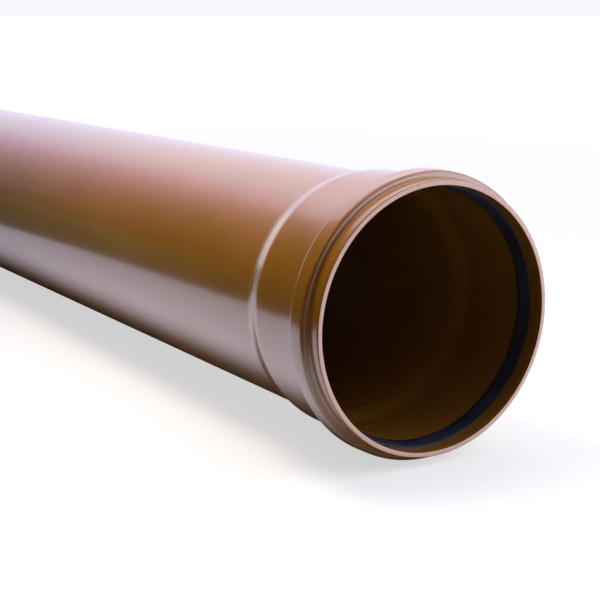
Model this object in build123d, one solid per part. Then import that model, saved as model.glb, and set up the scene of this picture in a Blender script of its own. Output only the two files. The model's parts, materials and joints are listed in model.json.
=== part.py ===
from build123d import *
from math import asin, atan2, cos, degrees, hypot, radians, sin, tan
import os

# A length of smooth PVC-U sewer pipe. One end is formed into a ring socket that holds a rubber
# sealing ring, and the other is a plain end with a chamfer. All sizes are in millimetres.

# The pipe
OUTER_DIAMETER = 160.0
WALL = 4.0
LAYING_LENGTH = 1000.0
CHAMFER_LENGTH = 7.0
CHAMFER_ANGLE = 15.0

# The socket, with its depths measured in from the mouth
SPIGOT_PLAY = 0.3
SOCKET_WALL = 3.5
SOCKET_DEPTH = 72.2
TAPER_LENGTH = 14.0
TAPER_FRONT_ROUND = 20.0
TAPER_REAR_ROUND = 36.0

# The lip in front of the sealing ring
LIP_PLAY = 0.9
LIP_WALL = 3.5
LIP_ROUND = 1.1
FLARE = 0.3
FLARE_LENGTH = 3.0

# The bead over the sealing ring, whose crown falls a little towards the mouth
BEAD_FRONT = 9.8
BEAD_WIDTH = 14.2
BEAD_SIDE_WALL = 3.2
BEAD_FRONT_WALL = 2.7
BEAD_REAR_WALL = 3.2
BEAD_FRONT_ROUND = 2.5
BEAD_REAR_ROUND = 2.4
BEAD_CREASE = 2.0
GROOVE_DEPTH = 6.0
GROOVE_ROUND = 2.4

# The sealing ring, which fills the groove and squeezes a plain end that is pushed in
RING_PLAY = 0.2
RING_NOSE_LENGTH = 2.7
RING_NOSE_THICKNESS = 0.5
RING_SQUEEZE = 1.6
RING_LAND = 2.0
RING_ROUND = 0.4

# Radii from the pipe's axis
pipe_radius = OUTER_DIAMETER / 2
bore_radius = pipe_radius - WALL
chamfer_radius = pipe_radius - CHAMFER_LENGTH * tan(radians(CHAMFER_ANGLE))
socket_bore_radius = pipe_radius + SPIGOT_PLAY
socket_radius = socket_bore_radius + SOCKET_WALL
lip_bore_radius = pipe_radius + LIP_PLAY
lip_radius = lip_bore_radius + LIP_WALL
groove_radius = socket_bore_radius + GROOVE_DEPTH
crown_front_radius = groove_radius + BEAD_FRONT_WALL
crown_rear_radius = groove_radius + BEAD_REAR_WALL
nose_radius = lip_bore_radius - RING_PLAY
land_radius = pipe_radius - RING_SQUEEZE

# Places along the axis: the mouth is at 0 and the pipe runs towards -X
taper_front = -SOCKET_DEPTH
taper_rear = taper_front - TAPER_LENGTH
plain_end = taper_rear - LAYING_LENGTH
chamfer_start = plain_end + CHAMFER_LENGTH
bead_front = -BEAD_FRONT
bead_rear = bead_front - BEAD_WIDTH
groove_front = bead_front - BEAD_SIDE_WALL
groove_rear = bead_rear + BEAD_SIDE_WALL
ring_front = groove_front - RING_PLAY
ring_rear = groove_rear + RING_PLAY
nose_front = groove_front + RING_NOSE_LENGTH

# The rounds of the bead and the groove, limited by the steps that they soften
front_step = crown_front_radius - lip_radius
front_round = min(BEAD_FRONT_ROUND, 0.55 * front_step)
crease_round = min(BEAD_CREASE, 0.44 * front_step)
rear_round = min(BEAD_REAR_ROUND, 0.48 * (crown_rear_radius - socket_radius))
groove_round = min(GROOVE_ROUND, 0.48 * GROOVE_DEPTH)


def turned(corners):
    """A solid of revolution about X from its section's corners, each (place, radius, round)."""
    section = FilletPolyline(
        [(place, radius) for place, radius, _ in corners],
        radius=[rounding for _, _, rounding in corners],
        close=True,
    )
    return revolve(make_face(section), Axis.X)


def make_pipe():
    """The pipe's outside from the mouth to the plain end, then its inside back to the mouth."""
    outside = [
        (0, lip_radius, LIP_ROUND),
        (bead_front, lip_radius, crease_round),
        (bead_front, crown_front_radius, front_round),
        (bead_rear, crown_rear_radius, rear_round),
        (bead_rear, socket_radius, rear_round),
        (taper_front, socket_radius, TAPER_FRONT_ROUND),
        (taper_rear, pipe_radius, TAPER_REAR_ROUND),
        (chamfer_start, pipe_radius, 0),
        (plain_end, chamfer_radius, 0),
    ]
    inside = [
        (plain_end, bore_radius, 0),
        (taper_rear, bore_radius, TAPER_REAR_ROUND),
        (taper_front, socket_bore_radius, TAPER_FRONT_ROUND),
        (groove_rear, socket_bore_radius, groove_round),
        (groove_rear, groove_radius, 0),
        (groove_front, groove_radius, 0),
        (groove_front, lip_bore_radius, groove_round),
        (-FLARE_LENGTH, lip_bore_radius, 0),
        (0, lip_bore_radius + FLARE, 0),
    ]
    return turned(outside + inside)


def make_sealing_ring():
    """The ring's seat in the groove, its nose under the lip and the slope down to its sealing land."""
    return turned(
        [
            (ring_rear, groove_radius, 0),
            (ring_rear, land_radius, RING_ROUND),
            (ring_rear + RING_LAND, land_radius, RING_ROUND),
            (nose_front, nose_radius - RING_NOSE_THICKNESS, 0),
            (nose_front, nose_radius, 0),
            (ring_front, nose_radius, groove_round),
            (ring_front, groove_radius, 0),
        ]
    )


# How the pipe lies on a level floor: on the rear round of its bead and on the foot of its chamfer,
# so the tangent from the foot to the round sets the slope of the axis.
crown_slope = atan2(crown_rear_radius - crown_front_radius, BEAD_WIDTH)
round_place = bead_rear + rear_round
round_radius = crown_rear_radius - rear_round * (tan(crown_slope) + 1 / cos(crown_slope))
run = round_place - chamfer_start
rise = round_radius - pipe_radius
lying_angle = atan2(rise, run) + asin(rear_round / hypot(run, rise))
axis_height = -chamfer_start * sin(lying_angle) + pipe_radius * cos(lying_angle)

lie = Pos(0, 0, axis_height) * Rot(0, -degrees(lying_angle), 0)
pieces = {"pipe": lie * make_pipe(), "sealing_ring": lie * make_sealing_ring()}

# The origin is on the floor below the middle of the pipe's length
middle = Pos(-pieces["pipe"].bounding_box().center().X, 0, 0)

os.makedirs("parts", exist_ok=True)
for name, piece in pieces.items():
    export_step(middle * piece, f"parts/{name}.step")
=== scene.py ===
import json
import math

import bpy
import numpy as np
from mathutils import Euler, Matrix, Vector


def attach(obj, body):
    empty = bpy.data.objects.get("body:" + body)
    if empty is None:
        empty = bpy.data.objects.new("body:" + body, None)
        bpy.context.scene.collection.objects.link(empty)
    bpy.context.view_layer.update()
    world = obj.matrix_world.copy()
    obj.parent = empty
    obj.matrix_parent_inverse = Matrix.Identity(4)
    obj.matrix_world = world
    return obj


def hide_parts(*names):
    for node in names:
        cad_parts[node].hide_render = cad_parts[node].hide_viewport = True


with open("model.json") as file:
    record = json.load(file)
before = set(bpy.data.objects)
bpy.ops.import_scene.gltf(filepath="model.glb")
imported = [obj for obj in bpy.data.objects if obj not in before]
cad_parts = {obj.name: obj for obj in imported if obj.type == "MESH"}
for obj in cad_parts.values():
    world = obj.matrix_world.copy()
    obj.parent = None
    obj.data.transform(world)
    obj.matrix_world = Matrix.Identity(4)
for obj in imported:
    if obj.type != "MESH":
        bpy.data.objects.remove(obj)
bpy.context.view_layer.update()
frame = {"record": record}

# The pipe: one length of orange-brown PVC-U, extruded, then sawn to length and chamfered at its plain
# end. The other end is reheated and drawn over a mandrel, which forms the taper, the socket and the
# bead that grips the sealing ring. Sizes are in metres, with depths measured in from the mouth.
mounts = {mount["name"]: mount for mount in frame["record"]["mounts"]}


def mount_radius(name):
    """A round mount's radius in metres."""
    return mounts[name]["dims"]["r_mm"] / 1000


PIPE_LENGTH = 1.0862
CHAMFER_LENGTH = 0.007
CHAMFER_ANGLE = math.radians(15)
SOCKET_BORE = 0.0803
SOCKET_RADIUS = 0.0838
SOCKET_DEPTH = 0.0722
TAPER_LENGTH = 0.0140
TAPER_FRONT_ROUND = 0.020
TAPER_REAR_ROUND = 0.036
LIP_BORE = 0.0809
LIP_RADIUS = 0.0844
LIP_ROUND = 0.0011
FLARE = 0.0003
FLARE_LENGTH = 0.003
BEAD_FRONT = 0.0098
BEAD_REAR = 0.0240
BEAD_SIDE_WALL = 0.0032
BEAD_FRONT_ROUND = 0.0025
BEAD_REAR_ROUND = 0.0024
BEAD_CREASE = 0.0020
GROOVE_RADIUS = 0.0863
GROOVE_ROUND = 0.0024
SAWN_EDGE_ROUND = 0.0002
PIPE_SEGMENTS = 384
PIPE_ROUND_STEPS = 9
PIPE_STEP = 0.040

# The crown stands this much inside the solid's, so that its finer surface keeps to the solid's box
CROWN_CLEARANCE = 0.00012
CROWN_FRONT = 0.0890 - CROWN_CLEARANCE
CROWN_REAR = 0.0895 - CROWN_CLEARANCE

pipe_radius = mount_radius("plain_end")
bore_radius = mount_radius("flow_bore")
chamfer_tip = pipe_radius - CHAMFER_LENGTH * math.tan(CHAMFER_ANGLE)
taper_end = SOCKET_DEPTH + TAPER_LENGTH
groove_front = BEAD_FRONT + BEAD_SIDE_WALL
groove_rear = BEAD_REAR - BEAD_SIDE_WALL

# The pipe's axis points out of the socket, and rises a little towards it as the pipe lies on its bead
bore = mounts["flow_bore"]
pipe_axis = Vector(bore["axis"])
plain_end = Vector(bore["pos_m"]) - pipe_axis * bore["dims"]["length_mm"] / 2000
mouth = plain_end + pipe_axis * PIPE_LENGTH
lying_angle = math.atan2(pipe_axis.z, pipe_axis.x)
lie = Matrix.Translation(mouth) @ Matrix.Rotation(-lying_angle, 4, "Y")


def rounded_outline(corners, steps):
    """A closed outline from corners (depth, radius, round): each corner becomes a circular arc of that
    round, tangent to both of its sides, in the given number of steps."""
    point = np.array([corner[:2] for corner in corners])
    size = np.array([corner[2] for corner in corners])[:, None]
    before = np.roll(point, 1, axis=0) - point
    after = np.roll(point, -1, axis=0) - point
    before /= np.linalg.norm(before, axis=1, keepdims=True)
    after /= np.linalg.norm(after, axis=1, keepdims=True)
    half = np.arccos(np.sum(before * after, axis=1, keepdims=True)) / 2
    middle = before + after
    middle /= np.linalg.norm(middle, axis=1, keepdims=True)
    centre = point + middle * size / np.sin(half)
    first = point + before * size / np.tan(half) - centre
    last = point + after * size / np.tan(half) - centre
    start = np.arctan2(first[:, 1], first[:, 0])
    turn = np.arctan2(last[:, 1], last[:, 0]) - start
    turn = (turn + np.pi) % (2 * np.pi) - np.pi
    angle = start[:, None] + turn[:, None] * np.linspace(0, 1, steps + 1)
    arc = np.stack([np.cos(angle), np.sin(angle)], axis=2) * size[:, None]
    return (centre[:, None] + arc).reshape(-1, 2)


def evened(outline, step):
    """A closed outline with more points along its long sides, none further apart than the step: its own
    points and evenly spaced ones, in order of their distance along it."""
    closed = np.vstack([outline, outline[:1]])
    side = np.linalg.norm(np.diff(closed, axis=0), axis=1)
    along = np.concatenate([[0], np.cumsum(side)])
    pieces = np.maximum(np.ceil(side / step), 1).astype(int)
    begin = np.repeat(along[:-1], pieces)
    count = np.arange(pieces.sum()) - np.repeat(np.cumsum(pieces) - pieces, pieces)
    place = begin + np.repeat(side / pieces, pieces) * count
    depth = np.interp(place, along, closed[:, 0])
    radius = np.interp(place, along, closed[:, 1])
    return np.stack([depth, radius], axis=1)


def turned_mesh(name, outline, segments):
    """A closed surface turned about the pipe's axis. Its point for outline place i and turn j lies that
    outline point's depth in from the mouth and its radius from the axis, at the angle of turn j."""
    angle = np.arange(segments) * 2 * np.pi / segments
    depth, radius = outline[:, :1], outline[:, 1:]
    level = 0 * depth + 0 * angle
    local = np.stack([level - depth, radius * np.cos(angle), radius * np.sin(angle), level + 1], axis=2)
    place = local.reshape(-1, 4) @ np.array(lie).T
    i, j = np.meshgrid(np.arange(len(outline)), np.arange(segments), indexing="ij")
    row, next_row = i * segments, (i + 1) % len(outline) * segments
    next_j = (j + 1) % segments
    quads = np.stack([row + j, next_row + j, next_row + next_j, row + next_j], axis=2)
    mesh = bpy.data.meshes.new(name)
    mesh.from_pydata(place[:, :3], [], quads.reshape(-1, 4))
    mesh.polygons.foreach_set("use_smooth", np.ones(len(mesh.polygons), bool))
    return mesh


def new_piece(name, mesh, material):
    """An object at the origin with that mesh and material, in the scene."""
    piece = bpy.data.objects.new(name, mesh)
    mesh.materials.append(material)
    bpy.context.scene.collection.objects.link(piece)
    return piece


pipe_outline = evened(
    rounded_outline(
        [
            (0, LIP_RADIUS, LIP_ROUND),
            (BEAD_FRONT, LIP_RADIUS, BEAD_CREASE),
            (BEAD_FRONT, CROWN_FRONT, BEAD_FRONT_ROUND),
            (BEAD_REAR, CROWN_REAR, BEAD_REAR_ROUND),
            (BEAD_REAR, SOCKET_RADIUS, BEAD_REAR_ROUND),
            (SOCKET_DEPTH, SOCKET_RADIUS, TAPER_FRONT_ROUND),
            (taper_end, pipe_radius, TAPER_REAR_ROUND),
            (PIPE_LENGTH - CHAMFER_LENGTH, pipe_radius, SAWN_EDGE_ROUND),
            (PIPE_LENGTH, chamfer_tip, SAWN_EDGE_ROUND),
            (PIPE_LENGTH, bore_radius, SAWN_EDGE_ROUND),
            (taper_end, bore_radius, TAPER_REAR_ROUND),
            (SOCKET_DEPTH, SOCKET_BORE, TAPER_FRONT_ROUND),
            (groove_rear, SOCKET_BORE, GROOVE_ROUND),
            (groove_rear, GROOVE_RADIUS, SAWN_EDGE_ROUND),
            (groove_front, GROOVE_RADIUS, SAWN_EDGE_ROUND),
            (groove_front, LIP_BORE, GROOVE_ROUND),
            (FLARE_LENGTH, LIP_BORE, SAWN_EDGE_ROUND),
            (0, LIP_BORE + FLARE, SAWN_EDGE_ROUND),
        ],
        PIPE_ROUND_STEPS,
    ),
    PIPE_STEP,
)
pipe_mesh = turned_mesh("pipe_wall", pipe_outline, PIPE_SEGMENTS)


def put(tree, kind, inputs=None, **settings):
    """A shader node of that kind, with its settings, and each named input set to a value or linked."""
    node = tree.nodes.new(kind)
    for key, value in settings.items():
        setattr(node, key, value)
    for key, value in (inputs or {}).items():
        if isinstance(value, bpy.types.NodeSocket):
            tree.links.new(value, node.inputs[key])
        else:
            node.inputs[key].default_value = value
    return node


def new_material(name):
    """An empty node material and its tree."""
    material = bpy.data.materials.new(name)
    material.use_nodes = True
    material.node_tree.nodes.clear()
    return material, material.node_tree


def finish_material(tree, inputs):
    """The material's shader, with those inputs, put out as its surface."""
    shader = put(tree, "ShaderNodeBsdfPrincipled", inputs)
    put(tree, "ShaderNodeOutputMaterial", {"Surface": shader.outputs["BSDF"]})


def maths(tree, operation, first, second):
    """Two values put together by that operation."""
    return put(tree, "ShaderNodeMath", {0: first, 1: second}, operation=operation).outputs["Value"]


def vector_maths(tree, operation, *vectors):
    """One vector, or two, put through that operation: the node's Vector and Value."""
    return put(tree, "ShaderNodeVectorMath", dict(enumerate(vectors)), operation=operation).outputs


def ramp(tree, value, low, high, to_low, to_high):
    """A value's range carried smoothly to another range."""
    return put(
        tree,
        "ShaderNodeMapRange",
        {"Value": value, "From Min": low, "From Max": high, "To Min": to_low, "To Max": to_high},
        interpolation_type="SMOOTHSTEP",
    ).outputs["Result"]


def blend(tree, amount, first, second):
    """One colour turning into another with the amount."""
    return put(tree, "ShaderNodeMix", {"Factor": amount, 6: first, 7: second}, data_type="RGBA").outputs[2]


def relief(tree, height, strength, distance):
    """The normal of a fine relief with that height."""
    return put(
        tree, "ShaderNodeBump", {"Strength": strength, "Distance": distance, "Height": height}
    ).outputs["Normal"]


def grain_group():
    """A node group for marks drawn along or around the pipe: noise on Object coordinates that are turned
    so that X runs along the pipe's axis from its mouth, with its own number of grains a metre along and
    across."""
    group = bpy.data.node_groups.new("pipe_grain", "ShaderNodeTree")
    for name in ("Along", "Across", "Detail"):
        group.interface.new_socket(name, in_out="INPUT", socket_type="NodeSocketFloat")
    group.interface.new_socket("Amount", in_out="OUTPUT", socket_type="NodeSocketFloat")
    group.interface.new_socket("Place", in_out="OUTPUT", socket_type="NodeSocketVector")
    wanted = put(group, "NodeGroupInput").outputs
    inverse = lie.inverted()
    place = put(
        group,
        "ShaderNodeMapping",
        {
            "Vector": put(group, "ShaderNodeTexCoord").outputs["Object"],
            "Location": inverse.translation,
            "Rotation": inverse.to_euler(),
        },
    ).outputs["Vector"]
    stretch = put(
        group, "ShaderNodeCombineXYZ", {"X": wanted["Along"], "Y": wanted["Across"], "Z": wanted["Across"]}
    ).outputs["Vector"]
    scaled = vector_maths(group, "MULTIPLY", place, stretch)["Vector"]
    amount = put(
        group, "ShaderNodeTexNoise", {"Vector": scaled, "Scale": 1.0, "Detail": wanted["Detail"]}
    ).outputs["Fac"]
    put(group, "NodeGroupOutput", {"Amount": amount, "Place": place})
    return group


pipe_grain = grain_group()


def grain(tree, along, across, detail):
    """The pipe's grain in a material, with that many grains a metre along and across the pipe."""
    return put(
        tree,
        "ShaderNodeGroup",
        {"Along": along, "Across": across, "Detail": detail},
        node_tree=pipe_grain,
    ).outputs


# Grains a metre along the pipe and across it, and their detail
DIE_LINES = (2.0, 420.0, 2.0)
PEEL = (60.0, 200.0, 0.0)
SAW_MARKS = (300.0, 1500.0, 2.0)
PVC_CLOUD = (14.0, 26.0, 3.0)

PVC_COLOUR = (0.336, 0.144, 0.006, 1)
PVC_PALE_STREAK = (0.366, 0.156, 0.009, 1)
# The bore's colour is painted shade, darker than the skin for the shade inside the pipe
BORE_PAINTED_SHADE = (0.250, 0.120, 0.012, 1)
SAWN_COLOUR = (0.98, 0.65, 0.45, 1)
SAWN_SHADE = (0.90, 0.57, 0.38, 1)
SAWN_DEPTH = 0.00014
CLOUD_LOW = 0.3
CLOUD_HIGH = 0.7
SAW_LOW = 0.35
SAW_HIGH = 0.65
PVC_SMOOTH = 0.24
PVC_DULL = 0.30
SAWN_ROUGHNESS = 0.5
SKIN_ROUGHNESS = 0.16
PVC_IOR = 1.54
PVC_RELIEF = 0.05
PVC_RELIEF_HEIGHT = 0.0004

pvc, tree = new_material("orange_brown_pvc")
die_lines = grain(tree, *DIE_LINES)["Amount"]
peel = grain(tree, *PEEL)["Amount"]
saw_marks = grain(tree, *SAW_MARKS)["Amount"]
cloud = grain(tree, *PVC_CLOUD)
place = put(tree, "ShaderNodeSeparateXYZ", {"Vector": cloud["Place"]}).outputs
depth = maths(tree, "MULTIPLY", place["X"], -1.0)
radius = put(tree, "ShaderNodeCombineXYZ", {"Y": place["Y"], "Z": place["Z"]}).outputs["Vector"]
radius = vector_maths(tree, "LENGTH", radius)["Value"]

# The sawn faces: the rim's flat front, and the plain end with its chamfer
rim_face = ramp(tree, depth, SAWN_DEPTH, SAWN_DEPTH / 2, 0, 1)
end_face = maths(
    tree,
    "MULTIPLY",
    maths(tree, "GREATER_THAN", depth, PIPE_LENGTH - CHAMFER_LENGTH),
    maths(tree, "GREATER_THAN", radius, bore_radius + SAWN_EDGE_ROUND),
)
sawn = maths(tree, "MAXIMUM", rim_face, end_face)
cut_face = blend(tree, ramp(tree, saw_marks, SAW_LOW, SAW_HIGH, 0, 1), SAWN_SHADE, SAWN_COLOUR)

# The extruded skin, with painted shade on the inner half of the wall: the bore is darker to stand for the
# shade inside the pipe
skin = blend(tree, ramp(tree, cloud["Amount"], CLOUD_LOW, CLOUD_HIGH, 0, 1), PVC_COLOUR, PVC_PALE_STREAK)
socket_middle = (SOCKET_BORE + SOCKET_RADIUS) / 2
barrel_middle = (bore_radius + pipe_radius) / 2
wall_middle = ramp(tree, depth, SOCKET_DEPTH, taper_end, socket_middle, barrel_middle)
skin = blend(tree, maths(tree, "LESS_THAN", radius, wall_middle), skin, BORE_PAINTED_SHADE)
gloss = ramp(tree, cloud["Amount"], CLOUD_LOW, CLOUD_HIGH, PVC_SMOOTH, PVC_DULL)
finish_material(
    tree,
    {
        "Base Color": blend(tree, sawn, skin, cut_face),
        "Roughness": maths(tree, "MAXIMUM", gloss, maths(tree, "MULTIPLY", sawn, SAWN_ROUGHNESS)),
        "Normal": relief(tree, maths(tree, "ADD", die_lines, peel), PVC_RELIEF, PVC_RELIEF_HEIGHT),
        "IOR": PVC_IOR,
        "Coat Weight": maths(tree, "SUBTRACT", 1.0, sawn),
        "Coat Roughness": SKIN_ROUGHNESS,
    },
)

pipe = new_piece("socket_pipe", pipe_mesh, pvc)
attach(pipe, "root")
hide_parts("pipe")

# The sealing ring: one moulded ring of black rubber, sprung into the groove under the bead. Its nose lies
# under the lip, and its face slopes in to the land that squeezes the plain end of the next pipe.
RING_PLAY = 0.0002
RING_NOSE_LENGTH = 0.0027
RING_NOSE_THICKNESS = 0.0005
RING_LAND = 0.0020
RING_ROUND = 0.0004
RING_EDGE_ROUND = 0.0002
RING_SEGMENTS = 384
RING_ROUND_STEPS = 5
RING_STEP = 0.0006

land_radius = mount_radius("socket_seal")
nose_radius = LIP_BORE - RING_PLAY
nose_front = groove_front - RING_NOSE_LENGTH
ring_front = groove_front + RING_PLAY
ring_rear = groove_rear - RING_PLAY
ring_outline = evened(
    rounded_outline(
        [
            (ring_rear, GROOVE_RADIUS, RING_EDGE_ROUND),
            (ring_rear, land_radius, RING_ROUND),
            (ring_rear - RING_LAND, land_radius, RING_ROUND),
            (nose_front, nose_radius - RING_NOSE_THICKNESS, RING_EDGE_ROUND),
            (nose_front, nose_radius, RING_EDGE_ROUND),
            (ring_front, nose_radius, GROOVE_ROUND),
            (ring_front, GROOVE_RADIUS, RING_EDGE_ROUND),
        ],
        RING_ROUND_STEPS,
    ),
    RING_STEP,
)
ring_mesh = turned_mesh("ring_wall", ring_outline, RING_SEGMENTS)

# Grains a metre along the pipe and across it, and their detail
MOULD_LINES = (1400.0, 20.0, 2.0)
RUBBER_CLOUD = (120.0, 40.0, 3.0)

RUBBER_COLOUR = (0.005, 0.010, 0.017, 1)
RUBBER_BLOOM = (0.011, 0.023, 0.035, 1)
BLOOM_LOW = 0.35
BLOOM_HIGH = 0.7
RUBBER_SMOOTH = 0.36
RUBBER_DULL = 0.5
RUBBER_IOR = 1.52
RUBBER_RELIEF = 0.2
RUBBER_RELIEF_HEIGHT = 0.0002

rubber, tree = new_material("black_rubber")
mould_lines = grain(tree, *MOULD_LINES)["Amount"]
cloud = grain(tree, *RUBBER_CLOUD)["Amount"]
bloom = ramp(tree, cloud, BLOOM_LOW, BLOOM_HIGH, 0, 1)
finish_material(
    tree,
    {
        "Base Color": blend(tree, bloom, RUBBER_COLOUR, RUBBER_BLOOM),
        "Roughness": ramp(tree, cloud, CLOUD_LOW, CLOUD_HIGH, RUBBER_SMOOTH, RUBBER_DULL),
        "Normal": relief(tree, mould_lines, RUBBER_RELIEF, RUBBER_RELIEF_HEIGHT),
        "IOR": RUBBER_IOR,
    },
)

ring = new_piece("lip_ring", ring_mesh, rubber)
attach(ring, "root")
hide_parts("sealing_ring")

# The floor: a wide sheet of pale studio paper, laid flat under the pipe and white around its shadow. In
# gloss it glows as a painted reflection: tinted, with painted shade under the pipe, towards the plain end
# and before the mouth, and a painted glow far out to the front right. It throws little light back into the
# mouth.
FLOOR_HALF = 30.0
FLOOR_DROP = 0.0002
FLOOR_COLOUR = (0.42, 0.445, 0.39, 1)
SEEN_COLOUR = (1, 1, 1, 1)
MIRRORED_COLOUR = (1.20, 1.12, 1.44, 1)
BLACK = (0, 0, 0, 1)
PAPER_ROUGHNESS = 0.9
FLOOR_LIFT = 0.61
FAR_LIFT = 0.74
FAR_FROM = 0.5
FAR_FULL = 3.0
UNDER_FROM = 0.045
UNDER_FULL = 0.11
FADE_FROM = 0.45
FADE_FULL = -0.35
FADED = 0.62
FRONT_DIRECTION = (0.55, -0.83, 0.0)
FRONT_FROM = 0.42
FRONT_FULL = 0.60
FRONT_BOUNCE = 0.08
GLINT_DIRECTION = (0.70, 0.70, 0.0)
GLINT_FROM = 0.80
GLINT_FULL = 1.12
GLINT = 5.5


def finish_paper(tree, inputs):
    """A matt paper shader without gloss, with those inputs as well."""
    finish_material(tree, {"Roughness": PAPER_ROUGHNESS, "Specular IOR Level": 0.0, **inputs})


edge = np.array([-1.0, 1.0]) * FLOOR_HALF
floor_x, floor_y = np.meshgrid(edge, edge, indexing="ij")
floor_place = np.stack([floor_x, floor_y, 0 * floor_x - FLOOR_DROP], axis=2).reshape(-1, 3)
floor_mesh = bpy.data.meshes.new("paper_floor")
floor_mesh.from_pydata(floor_place, [], [(0, 2, 3, 1)])

paper, tree = new_material("pale_paper")
paper.cycles.emission_sampling = "NONE"
ray = put(tree, "ShaderNodeLightPath").outputs
mirrored = maths(tree, "MAXIMUM", ray["Is Glossy Ray"], ray["Is Transmission Ray"])
seen = maths(tree, "MAXIMUM", ray["Is Camera Ray"], mirrored)

# The paper's distance from the line under the pipe
place = put(tree, "ShaderNodeTexCoord").outputs["Object"]
aside = vector_maths(tree, "ABSOLUTE", place)["Vector"]
aside = vector_maths(tree, "SUBTRACT", aside, (PIPE_LENGTH / 2, 0, 0))["Vector"]
aside = vector_maths(tree, "MAXIMUM", aside, (0, 0, 0))["Vector"]
away = vector_maths(tree, "LENGTH", aside)["Value"]

# Its painted level: darker before the mouth, fading along the pipe, a painted glint far out to the front
# right and painted shade under the pipe
ahead = vector_maths(tree, "DOT_PRODUCT", place, FRONT_DIRECTION)["Value"]
front = ramp(tree, ahead, FRONT_FROM, FRONT_FULL, 1, FRONT_BOUNCE)
along = put(tree, "ShaderNodeSeparateXYZ", {"Vector": place}).outputs["X"]
fade = ramp(tree, along, FADE_FROM, FADE_FULL, 1, FADED)
outward = vector_maths(tree, "DOT_PRODUCT", place, GLINT_DIRECTION)["Value"]
glint = ramp(tree, outward, GLINT_FROM, GLINT_FULL, 1, GLINT)
fade = ramp(tree, mirrored, 0, 1, 1, maths(tree, "MULTIPLY", fade, glint))
under = ramp(tree, mirrored, 0, 1, 1, ramp(tree, away, UNDER_FROM, UNDER_FULL, 0, 1))
level = maths(tree, "MAXIMUM", ray["Is Camera Ray"], maths(tree, "MULTIPLY", front, fade))
lift = ramp(tree, away, FAR_FROM, FAR_FULL, FLOOR_LIFT, FAR_LIFT)
lift = maths(tree, "MULTIPLY", lift, maths(tree, "MULTIPLY", under, maths(tree, "MULTIPLY", seen, level)))
finish_paper(
    tree,
    {
        "Base Color": blend(tree, level, BLACK, FLOOR_COLOUR),
        "Emission Color": blend(tree, mirrored, SEEN_COLOUR, MIRRORED_COLOUR),
        "Emission Strength": lift,
    },
)

floor = new_piece("floor", floor_mesh, paper)

# The dark card: a low strip of card that stands on the floor to the left of the pipe, out of the picture.
# It runs in towards the barrel, bends along it, and turns from black to slate on the way. Only gloss
# mirrors it, above the pale paper: it is a painted dark reflection along the pipe's side.
CARD_NEAR = (0.60, -0.60)
CARD_BEND = (-0.40, -0.16)
CARD_FAR = (-1.40, -0.16)
CARD_HEIGHT = 0.14
CARD_BLACK = (0.01, 0.01, 0.01, 1)
CARD_SLATE = (0.07, 0.13, 0.08, 1)
SLATE_FROM = 0.0
SLATE_FULL = -0.12


def only_in_gloss(card):
    """Keeps a card out of the picture, and out of the light and shade on other things."""
    card.visible_camera = False
    card.visible_diffuse = False
    card.visible_shadow = False


card_line = np.array([CARD_NEAR, CARD_BEND, CARD_FAR])
card_low = np.column_stack([card_line, np.zeros(len(card_line))])
card_place = np.vstack([card_low, card_low + (0, 0, CARD_HEIGHT)])
card_mesh = bpy.data.meshes.new("card")
card_mesh.from_pydata(card_place, [], [(0, 1, 4, 3), (1, 2, 5, 4)])

slate, tree = new_material("slate_card")
place = put(tree, "ShaderNodeTexCoord").outputs["Object"]
along = put(tree, "ShaderNodeSeparateXYZ", {"Vector": place}).outputs["X"]
slated = ramp(tree, along, SLATE_FROM, SLATE_FULL, 0, 1)
finish_paper(tree, {"Base Color": blend(tree, slated, CARD_BLACK, CARD_SLATE)})

dark_card = new_piece("dark_card", card_mesh, slate)
only_in_gloss(dark_card)

# The light: a pale studio, bright behind the pipe and above it, dim before it and on its left. One soft box
# above the socket lights the pipe. Glowing cards above the pipe, before its mouth and beside its socket are
# there only for its gloss to mirror.
ROOM_PINK = (1.08, 0.68, 1.14, 1)
ROOM_LAVENDER = (0.88, 0.88, 1.16, 1)
FAR_WALL = (0.96, 0.96, 1.0, 1)
CARD_LILAC = (0.92, 0.88, 1.20, 1)
LAMP_PLACE = (0.31, -0.15, 0.66)
LAMP_TARGET = (0.39, -0.02, 0.10)
LAMP_SIDE = 0.25
LAMP_POWER = 2.8
LAMP_COLOUR = (1.0, 0.95, 0.88)

# Levels of the room, and the parts of a direction along X, Y and Z between which each one changes
ROOM_DIM = 0.01
ROOM_BRIGHT = 1.07
ROOM_LEFT = -0.42
ROOM_RIGHT = 0.18
FRONT_DIM = 0.10
DIM_FROM = 0.70
DIM_FULL = 0.92
WINDOW_BRIGHT = 0.35
WINDOW_FROM = -0.955
WINDOW_FULL = -0.99
CEILING_BRIGHT = 0.5
CEILING_LOW = 0.45
CEILING_HIGH = 0.80
CEILING_FRONT = 0.35
CEILING_BACK = -0.15
SIDE_BRIGHT = 2.5
SIDE_FROM = 0.35
SIDE_FULL = 0.75
SIDE_BACK = 0.0
SIDE_FRONT = 0.4
PINK_LEFT = -0.18
LAVENDER_RIGHT = 0.20
WALL_FROM = -0.95
WALL_FULL = -0.98

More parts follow.
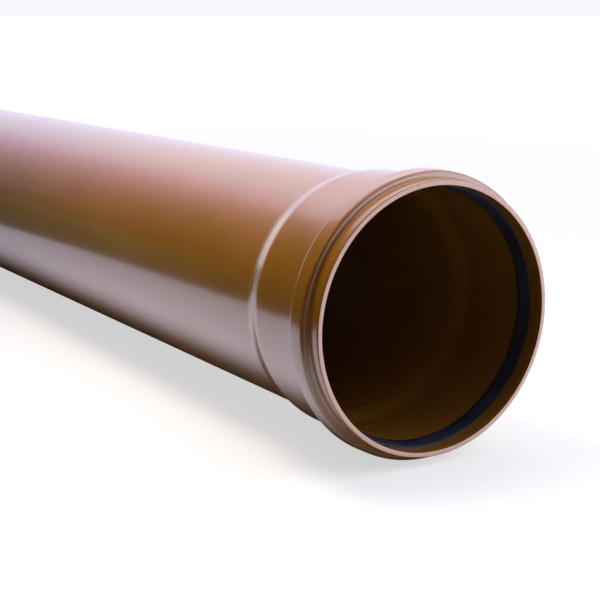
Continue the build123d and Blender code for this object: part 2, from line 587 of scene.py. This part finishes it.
world = bpy.data.worlds.new("studio")
bpy.context.scene.world = world
world.use_nodes = True
tree = world.node_tree
tree.nodes.clear()
direction = put(tree, "ShaderNodeTexCoord").outputs["Generated"]
direction = put(tree, "ShaderNodeSeparateXYZ", {"Vector": direction}).outputs
room = ramp(tree, direction["Y"], ROOM_LEFT, ROOM_RIGHT, ROOM_DIM, ROOM_BRIGHT)
room = maths(tree, "MULTIPLY", room, ramp(tree, direction["X"], DIM_FROM, DIM_FULL, 1, FRONT_DIM))
window = ramp(tree, direction["X"], WINDOW_FROM, WINDOW_FULL, 0, WINDOW_BRIGHT)
ceiling = ramp(tree, direction["Z"], CEILING_LOW, CEILING_HIGH, 0, CEILING_BRIGHT)
ceiling = maths(tree, "MULTIPLY", ceiling, ramp(tree, direction["X"], CEILING_FRONT, CEILING_BACK, 0, 1))
side = ramp(tree, direction["Y"], SIDE_FROM, SIDE_FULL, 0, SIDE_BRIGHT)
side = maths(tree, "MULTIPLY", side, ramp(tree, direction["X"], SIDE_BACK, SIDE_FRONT, 0, 1))
light = maths(tree, "ADD", maths(tree, "ADD", room, window), maths(tree, "ADD", ceiling, side))
tint = blend(tree, ramp(tree, direction["Y"], PINK_LEFT, LAVENDER_RIGHT, 0, 1), ROOM_PINK, ROOM_LAVENDER)
tint = blend(tree, ramp(tree, direction["X"], WALL_FROM, WALL_FULL, 0, 1), tint, FAR_WALL)
background = put(tree, "ShaderNodeBackground", {"Color": tint, "Strength": light})
put(tree, "ShaderNodeOutputWorld", {"Surface": background.outputs["Background"]})


def towards(place, target):
    """The turn that points an object at that place, facing along its own -Z, at the target."""
    return (Vector(target) - Vector(place)).to_track_quat("-Z", "Y")


def glowing_card(name, place, target, width, height, strength, tint):
    """A card that glows in gloss alone: a flat rectangle, width by height, with its middle at the place
    and turned to face the target."""
    half = np.array([-0.5, 0.5])
    card_x, card_y = np.meshgrid(half * width, half * height, indexing="ij")
    flat = np.stack([card_x, card_y, 0 * card_x], axis=2).reshape(-1, 3)
    turned = flat @ np.array(towards(place, target).to_matrix()).T + np.array(place)
    mesh = bpy.data.meshes.new(name)
    mesh.from_pydata(turned, [], [(0, 1, 3, 2)])
    material, tree = new_material(name)
    material.cycles.emission_sampling = "NONE"
    finish_paper(tree, {"Base Color": BLACK, "Emission Color": tint, "Emission Strength": strength})
    card = new_piece(name, mesh, material)
    only_in_gloss(card)


soft_box = bpy.data.lights.new("above_socket", "AREA")
soft_box.shape = "SQUARE"
soft_box.size = LAMP_SIDE
soft_box.energy = LAMP_POWER
soft_box.color = LAMP_COLOUR
lamp = bpy.data.objects.new("above_socket", soft_box)
lamp.location = LAMP_PLACE
lamp.rotation_euler = towards(LAMP_PLACE, LAMP_TARGET).to_euler()
lamp.visible_camera = False
lamp.visible_glossy = False
bpy.context.scene.collection.objects.link(lamp)

glowing_card(
    "high_card",
    place=(-0.05, 0.62, 1.35),
    target=(0.53, 0.0, 0.17),
    width=0.9,
    height=0.9,
    strength=3.1,
    tint=CARD_LILAC,
)
glowing_card(
    "ceiling_card",
    place=(-0.55, 0.45, 1.50),
    target=(-0.55, 0.45, 0.0),
    width=2.4,
    height=1.9,
    strength=1.6,
    tint=CARD_LILAC,
)
glowing_card(
    "front_card",
    place=(1.79, 0.64, 0.37),
    target=(0.54, 0.0, 0.37),
    width=1.05,
    height=0.74,
    strength=4.2,
    tint=CARD_LILAC,
)
glowing_card(
    "side_screen",
    place=(0.515, 0.95, 0.75),
    target=(-1.0, 0.95, 0.75),
    width=1.70,
    height=1.50,
    strength=0.7,
    tint=FAR_WALL,
)
glowing_card(
    "top_screen",
    place=(0.515, 0.06, 0.8475),
    target=(-1.0, 0.06, 0.8475),
    width=0.08,
    height=1.305,
    strength=0.5,
    tint=FAR_WALL,
)

# The camera: a long lens in front of the socket, to its left and a little above it. Its place and turn are
# given from the mouth's centre, along and across the pipe.
CAMERA_FROM_MOUTH = (0.6364, -0.4806, 0.1778)
CAMERA_TURN = 1.02699
CAMERA_TILT = -0.20512
CAMERA_LENS = 81.82
CAMERA_SENSOR = 36.0
lens = bpy.data.cameras.new("camera")
lens.lens = CAMERA_LENS
lens.sensor_width = CAMERA_SENSOR
camera = bpy.data.objects.new("camera", lens)
aim = Euler((math.pi / 2 + CAMERA_TILT, 0, CAMERA_TURN))
camera.matrix_world = lie @ Matrix.LocRotScale(Vector(CAMERA_FROM_MOUTH), aim, None)
bpy.context.scene.collection.objects.link(camera)
bpy.context.scene.camera = camera
bpy.context.scene.view_settings.view_transform = "Standard"
